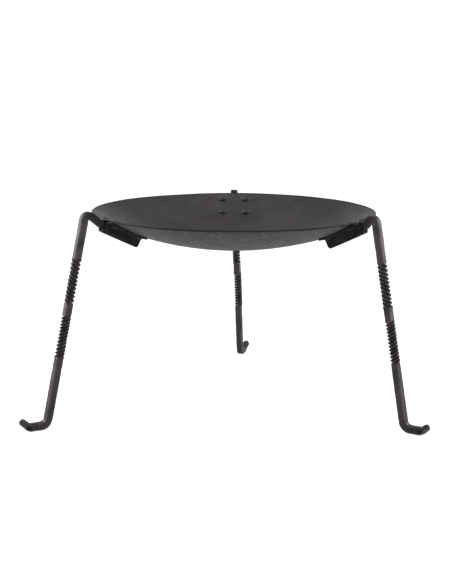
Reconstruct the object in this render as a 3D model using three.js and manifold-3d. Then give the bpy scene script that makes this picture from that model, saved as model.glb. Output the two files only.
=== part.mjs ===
// Campfire fire pan on a tripod: a shallow dished steel bowl with three hand-forged legs that plug into
// sockets riveted under it. Millimetres, +Z up. The origin is on the ground, under the middle of the
// bounding box, and the rear leg points along +Y.

import * as THREE from 'three';
import { mergeVertices } from 'three/addons/utils/BufferGeometryUtils.js';
import Module from 'manifold-3d';

const wasm = await Module();
wasm.setup();

const RADIANS = Math.PI / 180;

// Bowl, dished a little more steeply towards its rim
const BOWL_RADIUS = 250;
const BOWL_DEPTH = 63; // rim plane down to the underside of the middle
const BOWL_FLARE = 0.2; // share of the depth that goes with the radius to the fourth, not squared
const BOWL_SHEET = 2.5;
const BOWL_MIDDLE = 18; // radius of the flat that the hammer leaves in the middle
const RIM_HEIGHT = 348; // rim plane above the ground
const BOWL_STEPS = 9; // rings from the middle to the rim
const BOWL_SIDES = 60;

// Leg sockets, folded from strip into a hat section
const SOCKET_LENGTH = 72;
const SOCKET_SHEET = 3;
const SOCKET_WIDTH = 62; // over both flanges
const CHANNEL_WIDTH = 13.9; // inside
const CHANNEL_DEPTH = 15.5; // inside
const CHANNEL_CORNER = 3.5; // inside
const CHANNEL_CORNER_STEPS = 3;
const TOUCH_GAP = 0.3; // left between pieces that rest on each other

// Rivets, four through each socket's flanges and the bowl
const RIVET_SPACING_ALONG = 47;
const RIVET_SPACING_ACROSS = 44;
const RIVET_SHANK = 6;
const RIVET_HOLE = 6.8;
const UPPER_HEAD = { diameter: 16, height: 4.1, gap: 1.2 };
const LOWER_HEAD = { diameter: 12, height: 3.5, gap: TOUCH_GAP };
const HEAD_STEPS = 3;
const RIVET_SIDES = 12;

// Legs, square bar
const BAR = 12.7; // half-inch stock
const BAR_CHAMFER = 1.1;
const STUB_IN_SOCKET = 64;
const BAR_BELOW_FLANGE = 0.6; // the bar sits at the top of its channel
const KICK_RADIUS = 12;
const TOP_BEND_RADIUS = 8;
const UPPER_SHANK = 64;
const UPPER_TWIST = { length: 81, turns: -2.75 };
const COLLAR = 16;
const LOWER_TWIST = { length: 77, turns: 3 };
const FOOT_BEND_RADIUS = 14;
const FOOT_RUN = 16;
const TOE_BEND_RADIUS = 12;
const TOE_RISE = 40; // degrees
const TOE_SWING = -25; // degrees, clockwise from above
const TOE = 9;
const TOE_ROUNDING = [0.86, 0.55]; // the bar's width on the rounded end, as shares of BAR
const TWIST_STEPS_PER_TURN = 12;
const BEND_STEP = 13; // degrees

// The legs are laid out and bent by hand, so no two are quite alike. Reach is the distance of the middle of
// the leg's socket from the bowl's axis. Outside the socket the leg first kicks upward. The stub is the
// straight bar that shows before the top bend. The shank then leans out from the vertical, and the rear
// leg's shank veers sideways as well. Angles are in degrees.
const LEGS = [
  { name: 'rear', azimuth: 89.7, reach: 211, kick: 4, stub: 21, lean: 11.3, veer: -12 },
  { name: 'left', azimuth: 209, reach: 216, kick: 14, stub: 23, lean: 12, veer: 0 },
  { name: 'right', azimuth: 328, reach: 219, kick: 32, stub: 6.8, lean: 10.3, veer: 0 },
];

const finish = (color, roughness) => new THREE.MeshStandardMaterial({ color, roughness, metalness: 0.9 });
const bowlSteel = () => finish(0x4a4846, 0.45);
const socketSteel = () => finish(0x262524, 0.6);
const rivetSteel = () => finish(0x3c3a38, 0.45);
const legSteel = () => finish(0x3f3c3b, 0.4);

function toSolid(geometry) {
  const bare = geometry.clone();
  bare.deleteAttribute('normal');
  bare.deleteAttribute('uv');
  const merged = mergeVertices(bare);
  const corners = merged.index.array;
  const triangles = [];
  for (let i = 0; i < corners.length; i += 3) {
    const [a, b, c] = corners.slice(i, i + 3);
    if (a !== b && b !== c && c !== a) triangles.push(a, b, c);
  }
  const vertProperties = new Float32Array(merged.attributes.position.array);
  const triVerts = new Uint32Array(triangles);
  return new wasm.Manifold(new wasm.Mesh({ numProp: 3, vertProperties, triVerts }));
}

function toGeometry(solid) {
  const mesh = solid.getMesh();
  const geometry = new THREE.BufferGeometry();
  geometry.setAttribute('position', new THREE.BufferAttribute(mesh.vertProperties, 3));
  geometry.setIndex(new THREE.BufferAttribute(mesh.triVerts, 1));
  geometry.computeVertexNormals();
  return geometry;
}

function cut(geometry, cutters) {
  let solid = toSolid(geometry);
  for (const cutter of cutters) solid = solid.subtract(toSolid(cutter));
  return toGeometry(solid);
}

// LatheGeometry turns its profile about Y, and every turned piece here stands along Z.
function turned(profile, sides) {
  const geometry = new THREE.LatheGeometry(profile, sides);
  geometry.rotateX(Math.PI / 2);
  return geometry;
}

// Height of the bowl's underside above the ground at a distance from its axis
function undersideHeight(distance) {
  const share = distance / BOWL_RADIUS;
  const rise = (1 - BOWL_FLARE) * share ** 2 + BOWL_FLARE * share ** 4;
  return RIM_HEIGHT - BOWL_DEPTH + BOWL_DEPTH * rise;
}

function undersideSlope(distance) {
  const share = distance / BOWL_RADIUS;
  const growth = 2 * (1 - BOWL_FLARE) * share + 4 * BOWL_FLARE * share ** 3;
  return Math.atan((BOWL_DEPTH / BOWL_RADIUS) * growth);
}

// Frame on the underside of the bowl, where a socket touches it: X up the slope, Z into the bowl
function socketFrame(leg) {
  const frame = new THREE.Group();
  frame.position.x = leg.reach;
  frame.position.z = undersideHeight(leg.reach);
  frame.rotation.y = -undersideSlope(leg.reach);
  frame.updateMatrixWorld(true);
  return frame;
}

// How far the underside of the bowl has curved away from a place on the socket frame
function bulgeAt(leg, place) {
  const frame = socketFrame(leg);
  const passes = 4;
  let bulge = 0;
  for (let i = 0; i < passes; i += 1) {
    const above = new THREE.Vector3(place.x, place.y, bulge).applyMatrix4(frame.matrixWorld);
    const distance = Math.hypot(above.x, above.y);
    bulge += (undersideHeight(distance) - above.z) * Math.cos(undersideSlope(distance));
  }
  return bulge;
}

function rivetPlaces() {
  const places = [];
  for (const along of [-1, 1]) {
    for (const across of [-1, 1]) {
      const x = (along * RIVET_SPACING_ALONG) / 2;
      const y = (across * RIVET_SPACING_ACROSS) / 2;
      places.push(new THREE.Vector3(x, y, 0));
    }
  }
  return places;
}

function rivetDrills() {
  const length = 30;
  return rivetPlaces().map((place) => {
    const drill = new THREE.CylinderGeometry(RIVET_HOLE / 2, RIVET_HOLE / 2, length, RIVET_SIDES);
    drill.rotateX(Math.PI / 2);
    drill.translate(place.x, place.y, place.z);
    return drill;
  });
}

// Section of the sheet from the middle of its underside, round the rim, to the middle of its inside
function bowlProfile() {
  const surface = (thickness) => {
    const points = [];
    for (let i = 0; i <= BOWL_STEPS; i += 1) {
      const distance = BOWL_MIDDLE + ((BOWL_RADIUS - BOWL_MIDDLE) * i) / BOWL_STEPS;
      const slope = undersideSlope(distance);
      const x = distance - thickness * Math.sin(slope);
      points.push(new THREE.Vector2(x, undersideHeight(distance) + thickness * Math.cos(slope)));
    }
    points.unshift(new THREE.Vector2(0, points[0].y));
    return points;
  };
  return [...surface(0), ...surface(BOWL_SHEET).reverse()];
}

function bowlGeometry() {
  const drills = [];
  for (const leg of LEGS) {
    const side = legSide(leg);
    const frame = socketFrame(leg);
    side.add(frame);
    side.updateMatrixWorld(true);
    drills.push(...rivetDrills().map((drill) => drill.applyMatrix4(frame.matrixWorld)));
  }
  return cut(turned(bowlProfile(), BOWL_SIDES), drills);
}

// Hat section seen from its mouth: x across, y towards the bowl, the flanges' upper face on y = 0
function hatSection() {
  const half = SOCKET_WIDTH / 2;
  const inside = CHANNEL_WIDTH / 2;
  const outside = inside + SOCKET_SHEET;
  const floor = -CHANNEL_DEPTH;
  const underside = floor - SOCKET_SHEET;
  const inner = CHANNEL_CORNER;
  const outer = CHANNEL_CORNER + SOCKET_SHEET;
  const section = new THREE.Shape();
  section.moveTo(half, 0);
  section.lineTo(inside, 0);
  section.lineTo(inside, floor + inner);
  section.absarc(inside - inner, floor + inner, inner, 0, -Math.PI / 2, true);
  section.lineTo(inner - inside, floor);
  section.absarc(inner - inside, floor + inner, inner, -Math.PI / 2, -Math.PI, true);
  section.lineTo(-inside, 0);
  section.lineTo(-half, 0);
  section.lineTo(-half, -SOCKET_SHEET);
  section.lineTo(-outside, -SOCKET_SHEET);
  section.lineTo(-outside, underside + outer);
  section.absarc(outer - outside, underside + outer, outer, -Math.PI, -Math.PI / 2, false);
  section.lineTo(outside - outer, underside);
  section.absarc(outside - outer, underside + outer, outer, -Math.PI / 2, 0, false);
  section.lineTo(outside, -SOCKET_SHEET);
  section.lineTo(half, -SOCKET_SHEET);
  section.closePath();
  return section;
}

function socketGeometry() {
  const options = { depth: SOCKET_LENGTH, bevelEnabled: false, curveSegments: CHANNEL_CORNER_STEPS };
  const geometry = new THREE.ExtrudeGeometry(hatSection(), options);
  const across = new THREE.Vector3(0, 1, 0);
  const up = new THREE.Vector3(0, 0, 1);
  const along = new THREE.Vector3(1, 0, 0);
  geometry.applyMatrix4(new THREE.Matrix4().makeBasis(across, up, along));
  geometry.translate(-SOCKET_LENGTH / 2, 0, -TOUCH_GAP);
  return cut(geometry, rivetDrills());
}

// Domed head from its edge to the axis, or from the axis to its edge: seat is the height of its flat face
function domeProfile(head, seat, upward) {
  const points = [];
  for (let i = 0; i <= HEAD_STEPS; i += 1) {
    const angle = ((Math.PI / 2) * i) / HEAD_STEPS;
    const x = (head.diameter / 2) * Math.cos(angle);
    points.push(new THREE.Vector2(i === HEAD_STEPS ? 0 : x, seat + upward * head.height * Math.sin(angle)));
  }
  return points;
}

// The shank runs through the flange and the bowl, and a head is hammered up on each end.
function rivetGeometry(leg, place) {
  const upperSeat = bulgeAt(leg, place) + BOWL_SHEET + UPPER_HEAD.gap;
  const lowerSeat = -TOUCH_GAP - SOCKET_SHEET - LOWER_HEAD.gap;
  const profile = [
    ...domeProfile(LOWER_HEAD, lowerSeat, -1).reverse(),
    new THREE.Vector2(RIVET_SHANK / 2, lowerSeat),
    new THREE.Vector2(RIVET_SHANK / 2, upperSeat),
    ...domeProfile(UPPER_HEAD, upperSeat, 1),
  ];
  return turned(profile, RIVET_SIDES);
}

function barSection() {
  const half = BAR / 2;
  const flat = half - BAR_CHAMFER;
  const section = new THREE.Shape();
  section.moveTo(half, -flat);
  section.lineTo(half, flat);
  section.lineTo(flat, half);
  section.lineTo(-flat, half);
  section.lineTo(-half, flat);
  section.lineTo(-half, -flat);
  section.lineTo(-flat, -half);
  section.lineTo(flat, -half);
  section.closePath();
  return section;
}

// A stretch of bar: angles in degrees, turns in whole turns about its own axis
const straight = (length) => ({ length, rise: 0, swing: 0, turns: 0, steps: 1 });
const twist = ({ length, turns }) => {
  const steps = Math.round(Math.abs(turns) * TWIST_STEPS_PER_TURN);
  return { length, rise: 0, swing: 0, turns, steps };
};
const bend = (radius, rise, swing = 0) => {
  const steps = Math.ceil(Math.abs(rise) / BEND_STEP);
  return { length: radius * Math.abs(rise) * RADIANS, rise, swing, turns: 0, steps };
};

// Leg from the inner end of its stub to its toe
function legStretches(leg, lowerShank) {
  const slope = undersideSlope(leg.reach) / RADIANS;
  const fall = 90 - leg.lean;
  return [
    straight(STUB_IN_SOCKET),
    bend(KICK_RADIUS, leg.kick),
    straight(leg.stub),
    bend(TOP_BEND_RADIUS, -(slope + leg.kick + fall), leg.veer),
    straight(UPPER_SHANK),
    twist(UPPER_TWIST),
    straight(COLLAR),
    twist(LOWER_TWIST),
    straight(lowerShank),
    bend(FOOT_BEND_RADIUS, fall),
    straight(FOOT_RUN),
    bend(TOE_BEND_RADIUS, TOE_RISE, TOE_SWING),
    straight(TOE),
  ];
}

// Frames along the bar's axis: the bar's position, the way it points and where its section's x and y point
function walk(start, slope, stretches) {
  const frames = [];
  const position = start.clone();
  const turn = { rise: slope, swing: 0, spin: 0 };
  const ahead = () => {
    const level = Math.cos(turn.rise);
    const x = level * Math.cos(turn.swing);
    const y = level * Math.sin(turn.swing);
    return new THREE.Vector3(x, y, Math.sin(turn.rise));
  };
  const mark = () => {
    const forward = ahead();
    const level = new THREE.Vector3(-Math.sin(turn.swing), Math.cos(turn.swing), 0);
    const x = level.applyAxisAngle(forward, turn.spin);
    const y = new THREE.Vector3().crossVectors(forward, x);
    frames.push({ position: position.clone(), forward, x, y, scale: 1 });
  };
  mark();
  for (const stretch of stretches) {
    const halfRise = (stretch.rise * RADIANS) / stretch.steps / 2;
    const halfSwing = (stretch.swing * RADIANS) / stretch.steps / 2;
    for (let i = 0; i < stretch.steps; i += 1) {
      turn.rise += halfRise;
      turn.swing += halfSwing;
      position.addScaledVector(ahead(), stretch.length / stretch.steps);
      turn.rise += halfRise;
      turn.swing += halfSwing;
      turn.spin += (stretch.turns * 2 * Math.PI) / stretch.steps;
      mark();
    }
  }
  return frames;
}

// The end of the toe is forged round.
function roundEnd(frames) {
  const end = frames.at(-1);
  for (const scale of TOE_ROUNDING) {
    const distance = (BAR / 2) * Math.sqrt(1 - scale ** 2);
    const position = end.position.clone().addScaledVector(end.forward, distance);
    frames.push({ ...end, position, scale });
  }
}

// The plain lower shank takes up the height that the other stretches leave, so that the foot's run is
// flat on the ground.
function lowerShankLength(leg, start) {
  const frames = walk(start, undersideSlope(leg.reach), legStretches(leg, 0).slice(0, -2));
  const spare = frames.at(-1).position.z - BAR / 2;
  return spare / Math.cos(leg.lean * RADIANS);
}

// A straight extrusion with one step for each stretch of the walk, moved onto the walk's frames
function legGeometry(leg) {
  const barHeight = -TOUCH_GAP - BAR_BELOW_FLANGE - BAR / 2;
  const innerEnd = new THREE.Vector3(SOCKET_LENGTH / 2 - STUB_IN_SOCKET, 0, barHeight);
  const start = innerEnd.applyMatrix4(socketFrame(leg).matrixWorld);
  const stretches = legStretches(leg, lowerShankLength(leg, start));
  const frames = walk(start, undersideSlope(leg.reach), stretches);
  roundEnd(frames);
  const steps = frames.length - 1;
  const geometry = new THREE.ExtrudeGeometry(barSection(), { depth: steps, steps, bevelEnabled: false });
  const places = geometry.attributes.position;
  for (let i = 0; i < places.count; i += 1) {
    const { position, x, y, scale } = frames[Math.round(places.getZ(i))];
    const place = position.clone();
    place.addScaledVector(x, places.getX(i) * scale);
    place.addScaledVector(y, places.getY(i) * scale);
    places.setXYZ(i, place.x, place.y, place.z);
  }
  geometry.computeVertexNormals();
  return geometry;
}

// Group turned so that its X points from the bowl's axis to the leg
function legSide(leg) {
  const side = new THREE.Group();
  side.rotation.z = leg.azimuth * RADIANS;
  return side;
}

function addPiece(parent, name, geometry, material) {
  const mesh = new THREE.Mesh(geometry, material);
  mesh.name = name;
  parent.add(mesh);
  return mesh;
}

const firePan = new THREE.Group();
addPiece(firePan, 'fire_bowl', bowlGeometry(), bowlSteel());

for (const leg of LEGS) {
  const side = legSide(leg);
  firePan.add(side);
  addPiece(side, `leg_${leg.name}`, legGeometry(leg), legSteel());

  const underside = socketFrame(leg);
  side.add(underside);
  addPiece(underside, `leg_socket_${leg.name}`, socketGeometry(), socketSteel());
  rivetPlaces().forEach((place, i) => {
    const geometry = rivetGeometry(leg, place);
    const rivet = addPiece(underside, `rivet_${leg.name}_${i + 1}`, geometry, rivetSteel());
    rivet.position.copy(place);
  });
}

// The feet aren't centred under the bowl, so the bounding box is measured and centred on the origin.
firePan.updateMatrixWorld(true);
const box = new THREE.Box3().setFromObject(firePan, true);
const middle = box.getCenter(new THREE.Vector3());
firePan.position.set(-middle.x, -middle.y, -box.min.z);

export default firePan;
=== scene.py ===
import itertools
import math

import bpy
import numpy as np
from mathutils import Matrix, Vector


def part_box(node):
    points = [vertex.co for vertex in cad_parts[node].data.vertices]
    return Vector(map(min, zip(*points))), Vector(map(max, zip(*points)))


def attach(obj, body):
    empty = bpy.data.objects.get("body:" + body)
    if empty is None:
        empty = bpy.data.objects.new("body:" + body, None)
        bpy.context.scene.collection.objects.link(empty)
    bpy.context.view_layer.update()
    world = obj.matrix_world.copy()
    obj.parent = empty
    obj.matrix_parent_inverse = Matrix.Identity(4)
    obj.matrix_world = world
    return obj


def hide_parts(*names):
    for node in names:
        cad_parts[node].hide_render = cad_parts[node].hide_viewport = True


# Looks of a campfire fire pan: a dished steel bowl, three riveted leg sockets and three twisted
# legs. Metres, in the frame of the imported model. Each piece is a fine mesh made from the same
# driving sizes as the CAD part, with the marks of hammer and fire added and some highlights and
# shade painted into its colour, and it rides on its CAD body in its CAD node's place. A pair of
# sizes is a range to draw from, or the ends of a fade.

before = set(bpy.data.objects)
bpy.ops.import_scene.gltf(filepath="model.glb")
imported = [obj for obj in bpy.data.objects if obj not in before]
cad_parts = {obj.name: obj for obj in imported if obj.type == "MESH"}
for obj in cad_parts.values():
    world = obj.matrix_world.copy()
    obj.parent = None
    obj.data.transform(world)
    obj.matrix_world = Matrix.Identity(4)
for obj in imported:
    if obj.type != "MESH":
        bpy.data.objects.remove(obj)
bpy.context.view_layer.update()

# Bowl, dished a little more steeply towards its rim
BOWL_RADIUS = 0.250
BOWL_DEPTH = 0.063
BOWL_FLARE = 0.2  # share of the depth that goes with the radius to the fourth, not squared
BOWL_SHEET = 0.0025
RIM_HEIGHT = 0.348
BOWL_SIDES = 480
BOWL_RINGS = 88
MIDDLE_SHARE = 1e-6  # share of the way to the rim that stands in for the very middle
RIM_STEPS = 8
RIM_WANDER = 0.0005  # how far the hand-cut edge strays from a true circle
RIM_WANDER_SIZE = 0.06
RIM_WANDER_POWER = 6  # how fast the straying dies away from the rim
RIM_EDGE = (0.985, 1)  # share of the way to the rim where the cut edge's dark band fades in
BOWL_WAVE = 0.0006
BOWL_WAVE_SIZE = 0.11
BOWL_SEEDS = {"blows": 5, "waves": 3, "rim": 9}
MARK_RING_SPACING = 0.0115  # the hammer goes round the bowl in rings
MARK_SPACING = 0.015
MARK_STRAY = 0.004
MARK_RADIUS = (0.010, 0.017)
MARK_DEPTH = (0.00004, 0.00022)

# Sockets, folded from strip into a hat section
SOCKET_LENGTH = 0.072
SOCKET_SHEET = 0.003
SOCKET_WIDTH = 0.062
CHANNEL_WIDTH = 0.0139
CHANNEL_DEPTH = 0.0155
CHANNEL_CORNER = 0.0035
FLANGE_CORNER = 0.0010
TOUCH_GAP = 0.0003
SOCKET_STEP = 0.0011
FOLD_POINTS = 9
SOCKET_EDGE = 0.0005
SOCKET_EDGE_SEGMENTS = 2
SOCKET_EDGE_ANGLE = 60  # edges sharper than this are filed
SOCKET_WARP = 0.00016
SOCKET_WARP_SIZE = 0.016
SOCKET_END_WARP = 1.5  # how much more the sawn ends stray than the sheet
SOCKET_END_WARP_SIZE = 0.012
SOCKET_WORN_EDGE = 0.0022
FLANGE_DRESSING = 0.005  # from the fold to where the flange follows the bowl
BULGE_PASSES = 4

# Rivets
RIVET_SPACING_ALONG = 0.047
RIVET_SPACING_ACROSS = 0.044
RIVET_SHANK = 0.003  # radius
UPPER_HEAD = {"radius": 0.0080, "height": 0.0054, "sunk": 0.0002}
LOWER_HEAD = {"radius": 0.0060, "height": 0.0035, "sunk": 0.0001}
RIVET_SIDES = 40
HEAD_STEPS = 12
HEAD_ROUNDNESS = 0.9  # 1 is a true dome, and less has fuller shoulders
HEAD_FACETS = 3
FACET_DEPTH = 0.00028
FACET_SHARE = (0.4, 1)  # of the depth that a blow reaches
FACET_TILT = (0.1, 1.1)  # radians from the rivet's axis
FACET_FLATNESS = 0.85
HEAD_PAINTED_HIGHLIGHT = (0.15, 0.9)  # share of the head's height where the painted highlight fades in
TILT_STEP = 0.001

# Legs, square bar
BAR = 0.0127
BAR_EDGE = 0.0012
TOE_EDGE = 0.0038
TOE_EASE = 0.010  # length over which the section turns into the toe's
TOE_NARROWING = 0.12
STUB_END_SCALE = 0.92
STUB_IN_SOCKET = 0.064
BAR_BELOW_FLANGE = 0.0006
KICK_RADIUS = 0.012
TOP_BEND_RADIUS = 0.008
UPPER_SHANK = 0.064
UPPER_TWIST = {"length": 0.081, "turns": -2.75}
COLLAR = 0.016
LOWER_TWIST = {"length": 0.077, "turns": 3}
FOOT_BEND_RADIUS = 0.014
FOOT_RUN = 0.016
TOE_BEND_RADIUS = 0.012
TOE_RISE = 40
TOE_SWING = -25
TOE = 0.009
RING_SPACING = 0.0009
FLAT_POINTS = 7
CORNER_POINTS = 4
TWIST_EASE = 0.006  # length over which a twist starts and stops
TWIST_UNEVEN = 0.10
TWIST_UNEVEN_SIZE = 0.013
TWIST_HOLLOW = 0.0005  # how far the flats sink where the bar is twisted
TWIST_PAINTED_HIGHLIGHT = 1.2  # how much brighter the ridges of a twist are painted than the worn plain corners, a painted highlight
# Painted shade in the twist's hollows
TWIST_PAINTED_SHADE = 0.4
TWIST_PAINTED_SHADE_FADE = 0.07  # cornerness at which the painted shade in a twist's hollows ends
# Painted shadow of the bowl on the hook and the stub under it
HOOK_PAINTED_SHADOW = 0.55
HOOK_PAINTED_SHADOW_FADE = (-0.018, 0.004)  # metres past the end of the hook
HOOK_SHADOW_DULLING = 0.6  # share of its wear and highlight that the hook loses in its painted shadow
END_STEPS = 7

# Marks left on the bar by forging
FLAT_CORNERNESS = 0.5  # of a flat where it meets the corner
FLAT_CORNERNESS_POWER = 4
BROAD_MARK = {"depth": 0.00016, "size": 0.011}
FINE_MARK = {"depth": 0.00012, "size": 0.0055}
CORNER_KNOCK = {"depth": 0.00030, "size": 0.006, "from": 0.25, "to": 0.8}

# Dents that the tongs leave on the two sides of the toe's bend
DENT_DEPTH = 0.0027
DENT_PLACE = 0.45  # share of the bend
DENT_DROP = 0.0012  # from the bar's middle
DENT_LENGTH = 0.0026
DENT_HEIGHT = 0.0022
DENT_SIDE = (0.003, 0.0048)  # from the bar's middle, so that only the two sides sink
# Painted shade in the dents
DENT_PAINTED_SHADE = 1.5

# The legs are bent by hand, so no two are alike. Angles are in degrees. Reach is from the bowl's
# axis to the middle of the socket.
LEGS = [
    {
        "name": "rear", "azimuth": 89.7, "reach": 0.211,
        "kick": 4, "stub": 0.021, "lean": 11.3, "veer": -12, "seed": 11,
    },
    {
        "name": "left", "azimuth": 209, "reach": 0.216,
        "kick": 14, "stub": 0.023, "lean": 12, "veer": 0, "seed": 22,
    },
    {
        "name": "right", "azimuth": 328, "reach": 0.219,
        "kick": 32, "stub": 0.0068, "lean": 10.3, "veer": 0, "seed": 33,
    },
]

# Middle of the bowl, seen from above
BOWL_LOW, BOWL_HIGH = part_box("fire_bowl")
AXIS = Vector(((BOWL_LOW.x + BOWL_HIGH.x) / 2, (BOWL_LOW.y + BOWL_HIGH.y) / 2, 0))

# Camera, placed from the bowl's axis
CAMERA_DISTANCE = 2.2253
CAMERA_HEIGHT = 0.6467
CAMERA_ORBIT = -0.23
CAMERA_TURN = 0.331
CAMERA_DOWN = 11.3075
CAMERA_ROLL = 0.3
CAMERA_LENS = 78.234
CAMERA_SENSOR = 36

# Floor, as the camera sees it and as it lights the object
FLOOR_HALF = 30.0
FLOOR_ROUGHNESS = 0.9
FLOOR_COLOUR_SEEN = (0.8, 0.8, 0.8, 1.0)
FLOOR_COLOUR_LIT = (0.42, 0.42, 0.42, 1.0)
FLOOR_GLOW_SEEN = 0.85
FLOOR_GLOW_NEAR = 0.26  # close to the object
FLOOR_GLOW_FAR = 1.2
FLOOR_GLOW_SPREAD = (0.7, 3.2)  # metres over which the one turns into the other

# World, as the camera sees it and as it lights the object
WORLD_SEEN = 1.05
WORLD_BY_HEIGHT = {"low": 0.08, "high": 0.45, "to_low": 0.85, "to_high": 0.30}
WORLD_BY_DEPTH = {"low": -0.5, "high": 0.3, "to_low": 0.45, "to_high": 1.0}

# Softboxes, placed from the bowl's axis. Radiance is what a mirror would show of one.
SOFTBOXES = [
    {"name": "left softbox", "place": (-2.0, 0.9, 1.1), "size": 1.5, "radiance": 3.2},
    {"name": "right softbox", "place": (2.0, 0.9, 1.1), "size": 1.5, "radiance": 2.3},
    {"name": "top softbox", "place": (-0.2, -0.3, 2.6), "size": 1.6, "radiance": 1.2},
]
SOFTBOX_AIM = 0.8  # share of the rim's height


# ------------------------ numbers


def ease(low, high, value):
    """0 below low, 1 above high, and a smooth step between them."""
    share = np.clip((value - low) / (high - low), 0, 1)
    return share * share * (3 - 2 * share)


def lattice(cell, seed):
    """A random number from -1 to 1 for each whole-numbered cell, the same on every run."""
    x, y, z = (cell[:, i].astype(np.int64) for i in range(3))
    mixed = (x * 73856093) ^ (y * 19349663) ^ (z * 83492791) ^ (seed * 40503)
    mixed = (mixed ^ (mixed >> 13)) & 0xFFFFFF
    mixed = (mixed * 1274126177) & 0xFFFFFFFF
    mixed = mixed ^ (mixed >> 15)
    return (mixed & 0xFFFF) / 32767.5 - 1


def noise(points, size, seed):
    """A smooth random field from -1 to 1 with features about size across."""
    scaled = points / size
    cell = np.floor(scaled)
    part = scaled - cell
    fade = part * part * (3 - 2 * part)
    total = np.zeros(len(points))
    for corner in itertools.product((0, 1), repeat=3):
        weight = np.prod(np.where(corner, fade, 1 - fade), axis=1)
        total += weight * lattice(cell + corner, seed)
    return total


def random_numbers(seed):
    return np.random.default_rng(seed)


def circle_points(count):
    """Points of a unit circle about the origin, in the plane."""
    azimuth = 2 * math.pi * np.arange(count) / count
    return np.stack([np.cos(azimuth), np.sin(azimuth)], axis=1)


# ------------------------ meshes


def add_mesh(name, points, faces, attributes):
    """A smooth-shaded mesh object with one number, or one vector, per point for each attribute."""
    mesh = bpy.data.meshes.new(name)
    mesh.from_pydata(points.tolist(), [], faces)
    mesh.validate()
    mesh.polygons.foreach_set("use_smooth", np.ones(len(mesh.polygons), bool))
    for key, values in attributes.items():
        kind = "FLOAT" if values.ndim == 1 else "FLOAT_VECTOR"
        attribute = mesh.attributes.new(key, kind, "POINT")
        slot_name = "value" if values.ndim == 1 else "vector"
        attribute.data.foreach_set(slot_name, values.astype(np.float32).ravel())
    piece = bpy.data.objects.new(name, mesh)
    bpy.context.scene.collection.objects.link(piece)
    return piece


def ring_faces(first, second, count):
    """Quads between two closed rings of points, given by the number of each ring's first point."""
    return [
        (first + i, first + (i + 1) % count, second + (i + 1) % count, second + i)
        for i in range(count)
    ]


def fan_faces(centre, ring, count, flip):
    """Triangles from a ring of points to one point."""
    faces = [(ring + i, ring + (i + 1) % count, centre) for i in range(count)]
    if flip:
        return [face[::-1] for face in faces]
    return faces


def tube_faces(rings, count):
    """Faces of a closed tube of rings, whose two end points come after all the rings' points."""
    faces = []
    for ring in range(rings - 1):
        faces += ring_faces(ring * count, (ring + 1) * count, count)
    start = rings * count
    faces += fan_faces(start, 0, count, flip=True)
    faces += fan_faces(start + 1, (rings - 1) * count, count, flip=False)
    return faces


def moved(points, matrix):
    """The points as a matrix carries them."""
    array = np.array(matrix)
    return points @ array[:3, :3].T + array[:3, 3]


def leg_side(leg):
    """Frame on the ground under the bowl, with X pointing towards the leg."""
    return Matrix.Translation(AXIS) @ Matrix.Rotation(math.radians(leg["azimuth"]), 4, "Z")


def underside_height(distance):
    """Height of the bowl's underside above the ground at a distance from its axis."""
    share = distance / BOWL_RADIUS
    rise = (1 - BOWL_FLARE) * share ** 2 + BOWL_FLARE * share ** 4
    return RIM_HEIGHT - BOWL_DEPTH + BOWL_DEPTH * rise


def underside_slope(distance):
    """Angle of the bowl's underside to the ground, in radians."""
    share = distance / BOWL_RADIUS
    growth = 2 * (1 - BOWL_FLARE) * share + 4 * BOWL_FLARE * share ** 3
    return np.arctan(BOWL_DEPTH / BOWL_RADIUS * growth)


def socket_frame(leg):
    """Frame where a socket touches the bowl's underside: X up the slope, Z into the bowl."""
    place = Matrix.Translation((leg["reach"], 0, underside_height(leg["reach"])))
    return leg_side(leg) @ place @ Matrix.Rotation(-underside_slope(leg["reach"]), 4, "Y")


def bulge_at(leg, x, y):
    """How far the underside of the bowl has curved away from a place on the socket frame."""
    reach = leg["reach"]
    slope = underside_slope(reach)
    bulge = 0.0
    for _ in range(BULGE_PASSES):
        outwards = reach + x * np.cos(slope) - bulge * np.sin(slope)
        height = underside_height(reach) + x * np.sin(slope) + bulge * np.cos(slope)
        distance = np.hypot(outwards, y)
        gap = underside_height(distance) - height
        bulge = bulge + gap * np.cos(underside_slope(distance))
    return bulge


def finish_piece(piece, material, node, body):
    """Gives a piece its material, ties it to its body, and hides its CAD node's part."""
    piece.data.materials.append(material)
    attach(piece, body)
    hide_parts(node)


# ------------------------ bowl


def hammer_marks():
    """Centre, radius and depth of each blow, in rings from the middle of the bowl to its rim."""
    draw = random_numbers(BOWL_SEEDS["blows"])
    marks = []
    ring = MARK_RING_SPACING / 2
    while ring < BOWL_RADIUS:
        count = max(3, round(2 * math.pi * ring / MARK_SPACING))
        first = draw.uniform(0, 2 * math.pi)
        angle = first + 2 * math.pi * np.arange(count) / count
        x = ring * np.cos(angle) + draw.uniform(-MARK_STRAY, MARK_STRAY, count)
        y = ring * np.sin(angle) + draw.uniform(-MARK_STRAY, MARK_STRAY, count)
        radius = draw.uniform(*MARK_RADIUS, count)
        depth = draw.uniform(*MARK_DEPTH, count)
        marks.append(np.stack([x, y, radius, depth], axis=1))
        ring += MARK_RING_SPACING
    return np.vstack(marks)


def hammered(places):
    """How far the blows and the sheet's own waves push each place outwards."""
    push = np.zeros(len(places))
    for x, y, radius, depth in hammer_marks():
        share = ((places[:, 0] - x) ** 2 + (places[:, 1] - y) ** 2) / radius ** 2
        push += depth * np.clip(1 - share, 0, 1) ** 2
    flat = np.column_stack([places, np.zeros(len(places))])
    push += BOWL_WAVE * noise(flat, BOWL_WAVE_SIZE, BOWL_SEEDS["waves"])
    return push


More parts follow.
